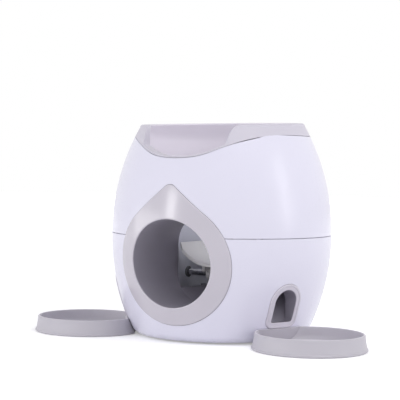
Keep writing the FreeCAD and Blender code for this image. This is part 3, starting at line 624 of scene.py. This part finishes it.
def collar_heights(azimuth):
    """Bottom and top of the collar at an azimuth from the front."""
    here = bowl_place(azimuth, COLLAR_REACH)
    bottom = seat_height(azimuth, COLLAR_REACH)
    top = RIM_BACK - RIM_DROP + RIM_DROP * here.y / COLLAR_REACH
    inset = abs(here.x) - COLLAR_HALF_FRONT
    if here.y < 0 and inset < COLLAR_CORNER:
        corner = top - COLLAR_CORNER
        if inset > 0:
            top = corner + math.sqrt(COLLAR_CORNER ** 2 - (COLLAR_CORNER - inset) ** 2)
        else:
            low = bottom + COLLAR_FLANGE
            top = low + (corner - low) * smooth(1 + inset / COLLAR_SIDE)
    return bottom, top


BOWL_OUTER = barrel_r(EDGE_BACK, -CASING_WALL) - BOWL_LIFT_GAP
BOWL_INNER = BOWL_OUTER - BOWL_WALL
HEEL_RADIUS = BOWL_INNER - BOWL_HEEL
HEEL_HEIGHT = BOWL_FLOOR + HEEL_RADIUS * math.tan(BOWL_SLOPE) + BOWL_HEEL / math.cos(BOWL_SLOPE)


def neck_place(azimuth, radius):
    """Point round the drop hole, whose axis stands behind the barrel's."""
    return Vector((0, DROP_Y, 0)) + Vector((math.sin(azimuth), -math.cos(azimuth), 0)) * radius


def at_height(place, z):
    return (place.x, place.y, z)


def bowl_floor(azimuth):
    """Inner face from the neck's foot, over its rounded lip and up the sloping floor."""
    inside = neck_place(azimuth, DROP_RADIUS)
    foot = bowl_place(azimuth, HEEL_RADIUS + BOWL_HEEL * math.sin(BOWL_SLOPE))
    lip = BOWL_FLOOR + inside.length * math.tan(BOWL_SLOPE)
    points = [at_height(inside, NECK_BOTTOM)]
    for step in range(ROUND_STEPS + 1):
        turn = math.pi / 2 * step / ROUND_STEPS
        here = neck_place(azimuth, DROP_RADIUS + NECK_ROUND * (1 - math.cos(turn)))
        points.append(at_height(here, lip - NECK_ROUND * (1 - math.sin(turn))))
    for step in range(1, FLOOR_STEPS + 1):
        here = inside.lerp(foot, FLOOR_START + (1 - FLOOR_START) * step / FLOOR_STEPS)
        points.append(at_height(here, BOWL_FLOOR + here.length * math.tan(BOWL_SLOPE)))
    return points


def wall_radius(z):
    """Inner radius of the bowl's wall at a height."""
    return min(BOWL_INNER, barrel_r(z, -COLLAR_WALL))


def bowl_wall(azimuth, top):
    """Inner face up the heel's round and the wall, and over the rim's inner edge."""
    points = []
    for step in range(1, HEEL_STEPS + 1):
        turn = BOWL_SLOPE - math.pi / 2 + (math.pi / 2 - BOWL_SLOPE) * step / HEEL_STEPS
        here = bowl_place(azimuth, HEEL_RADIUS + BOWL_HEEL * math.cos(turn))
        points.append(at_height(here, HEEL_HEIGHT + BOWL_HEEL * math.sin(turn)))
    soft = min(RIM_ROUND_IN, ROUND_SHARE_IN * (top - HEEL_HEIGHT))
    for step in range(1, WALL_STEPS + 1):
        z = HEEL_HEIGHT + (top - soft - HEEL_HEIGHT) * step / WALL_STEPS
        points.append(at_height(bowl_place(azimuth, wall_radius(z)), z))
    edge = wall_radius(top - soft)
    for step in range(1, ROUND_STEPS + 1):
        turn = math.pi / 2 * step / ROUND_STEPS
        here = bowl_place(azimuth, edge + soft * (1 - math.cos(turn)))
        points.append(at_height(here, top - soft * (1 - math.sin(turn))))
    return points


def collar_outside(azimuth, bottom, top):
    """Outer face from the rim's outer edge down to the collar's underside."""
    low = seat_height(azimuth, barrel_r(bottom, 0))
    big = min(RIM_ROUND_OUT, ROUND_SHARE_OUT * (top - low))
    edge = barrel_r(top - big, 0)
    points = []
    for step in range(ROUND_STEPS * 2 + 1):
        turn = math.pi / 2 * (1 - step / (ROUND_STEPS * 2))
        here = bowl_place(azimuth, edge - big * (1 - math.cos(turn)))
        points.append(at_height(here, top - big * (1 - math.sin(turn))))
    for step in range(1, WALL_STEPS + 1):
        z = top - big - (top - big - low) * step / WALL_STEPS
        points.append(at_height(bowl_place(azimuth, barrel_r(z, 0)), z))
    return points


def bowl_underside(azimuth):
    """Outer face under the collar: the heel's round, the sloping floor and the neck."""
    bottom = seat_height(azimuth, BOWL_OUTER)
    heel = BOWL_HEEL + BOWL_WALL
    start = -math.asin(max(0.0, HEEL_HEIGHT - bottom) / heel)
    points = [at_height(bowl_place(azimuth, HEEL_RADIUS + heel * math.cos(start)), bottom)]
    for step in range(HEEL_STEPS + 1):
        turn = start + (BOWL_SLOPE - math.pi / 2 - start) * step / HEEL_STEPS
        z = min(bottom - LEAST_DROP, HEEL_HEIGHT + heel * math.sin(turn))
        points.append(at_height(bowl_place(azimuth, HEEL_RADIUS + heel * math.cos(turn)), z))
    outside = neck_place(azimuth, DROP_RADIUS + DROP_WALL)
    points.append(at_height(outside, BOWL_FLOOR - BOWL_WALL + outside.length * math.tan(BOWL_SLOPE)))
    points.append(at_height(outside, NECK_BOTTOM))
    return points


def bowl_column(azimuth):
    """Closed cross-section of the bowl: up its inner face, over the rim and back down outside."""
    bottom, top = collar_heights(azimuth)
    inner = bowl_floor(azimuth) + bowl_wall(azimuth, top)
    return inner + collar_outside(azimuth, bottom, top) + bowl_underside(azimuth)


def bowl_azimuths():
    """Columns round the bowl, closer together at the collar's two front ends."""
    near = math.asin((COLLAR_HALF_FRONT - 2 * COLLAR_SIDE) / COLLAR_REACH)
    far = math.asin((COLLAR_HALF_FRONT + COLLAR_CORNER + COLLAR_SIDE) / COLLAR_REACH)
    half = [near * step / FRONT_COLUMNS for step in range(FRONT_COLUMNS)]
    half += [near + (far - near) * step / END_COLUMNS for step in range(END_COLUMNS)]
    half += [far + (math.pi - far) * step / BACK_COLUMNS for step in range(BACK_COLUMNS + 1)]
    return half + [-angle for angle in reversed(half[1:-1])]


def make_bowl():
    columns = [bowl_column(azimuth) for azimuth in bowl_azimuths()]
    make_loop_mesh("bowl_shell", "top_bowl", "bowl", columns, "bowl_grey")


# Stage

def floor_material():
    """Pale floor that the camera and reflections see as white, while its shadows stay."""
    shader = Shader(bpy.data.materials.new("floor"))
    out = shader.node("ShaderNodeOutputMaterial")
    base = shader.node("ShaderNodeBsdfDiffuse")
    white = shader.node("ShaderNodeEmission")
    total = shader.node("ShaderNodeAddShader")
    where = shader.node("ShaderNodeTexCoord").outputs["Object"]
    grain = noise(shader, where, FLOOR_GRAIN_SCALE)
    shader.link(tone(shader, grain, shaded(FLOOR_COLOUR, FLOOR_SHADE), FLOOR_COLOUR), base.inputs["Color"])
    distance = shader.node("ShaderNodeVectorMath", operation="LENGTH")
    shader.link(where, distance.inputs[0])
    far = shader.node("ShaderNodeMapRange")
    far.inputs["From Min"].default_value = FLOOR_NEAR
    far.inputs["From Max"].default_value = FLOOR_FAR
    far.inputs["To Min"].default_value = FLOOR_LIFT
    far.inputs["To Max"].default_value = 1.0
    shader.link(distance.outputs["Value"], far.inputs["Value"])
    level = shader.node("ShaderNodeMath", operation="MULTIPLY")
    shader.link(seen_directly(shader), level.inputs[0])
    shader.link(far.outputs["Result"], level.inputs[1])
    shader.link(level.outputs["Value"], white.inputs["Strength"])
    shader.link(base.outputs["BSDF"], total.inputs[0])
    shader.link(white.outputs["Emission"], total.inputs[1])
    shader.link(total.outputs["Shader"], out.inputs["Surface"])
    return shader.owner


def make_floor():
    form = bmesh.new()
    bmesh.ops.create_circle(form, cap_ends=True, segments=FLOOR_SEGMENTS, radius=FLOOR_RADIUS)
    mesh = bpy.data.meshes.new("floor")
    form.to_mesh(mesh)
    form.free()
    floor = bpy.data.objects.new("floor", mesh)
    floor.location = (0, 0, -FLOOR_DROP)
    bpy.context.scene.collection.objects.link(floor)
    mesh.materials.append(floor_material())


def make_world():
    """Light from all round, stronger near the horizon. The camera and reflections see plain white."""
    shader = Shader(bpy.data.worlds.new("studio"))
    out = shader.node("ShaderNodeOutputWorld")
    white = shader.node("ShaderNodeBackground")
    white.inputs["Color"].default_value = (1, 1, 1, 1)
    white.inputs["Strength"].default_value = 1.0
    light = shader.node("ShaderNodeBackground")
    light.inputs["Color"].default_value = (*WORLD_COLOUR, 1)
    height = shader.node("ShaderNodeSeparateXYZ")
    shader.link(shader.node("ShaderNodeTexCoord").outputs["Generated"], height.inputs["Vector"])
    level = shader.node("ShaderNodeMapRange")
    level.inputs["To Min"].default_value = HORIZON_LIGHT
    level.inputs["To Max"].default_value = ZENITH_LIGHT
    shader.link(height.outputs["Z"], level.inputs["Value"])
    shader.link(level.outputs["Result"], light.inputs["Strength"])
    mixed = shader.node("ShaderNodeMixShader")
    shader.link(seen_directly(shader), mixed.inputs["Fac"])
    shader.link(light.outputs["Background"], mixed.inputs[1])
    shader.link(white.outputs["Background"], mixed.inputs[2])
    shader.link(mixed.outputs["Shader"], out.inputs["Surface"])
    bpy.context.scene.world = shader.owner


def softbox(name, azimuth, elevation, distance, width, height, power):
    """Rectangular light that faces the barrel. Azimuths run from the front towards +X, in degrees."""
    data = bpy.data.lights.new(name, "AREA")
    data.shape = "RECTANGLE"
    data.size = width
    data.size_y = height
    data.energy = power
    turn = math.radians(azimuth)
    lift = math.radians(elevation)
    out = Vector((math.sin(turn) * math.cos(lift), -math.cos(turn) * math.cos(lift), math.sin(lift)))
    right = Vector((math.cos(turn), math.sin(turn), 0))
    place = out * distance + Vector((0, 0, LAMP_AIM_HEIGHT))
    lamp = bpy.data.objects.new(name, data)
    lamp.matrix_world = aim(place, right, out.cross(right), out)
    lamp.visible_camera = False
    bpy.context.scene.collection.objects.link(lamp)


def make_lights():
    softbox("light_side", azimuth=97, elevation=18, distance=1.6, width=0.32, height=0.9, power=2.9)
    softbox("light_key", azimuth=-25, elevation=10, distance=1.8, width=0.30, height=0.6, power=3.0)
    softbox("light_top", azimuth=70, elevation=64, distance=1.2, width=0.5, height=0.5, power=3.4)
    softbox("light_low", azimuth=-52, elevation=2, distance=1.6, width=1.0, height=0.3, power=2.1)


bpy.context.scene.view_settings.view_transform = "Standard"
make_camera()
finish_nodes()
make_bezels()
make_bowl()
make_floor()
make_world()
make_lights()
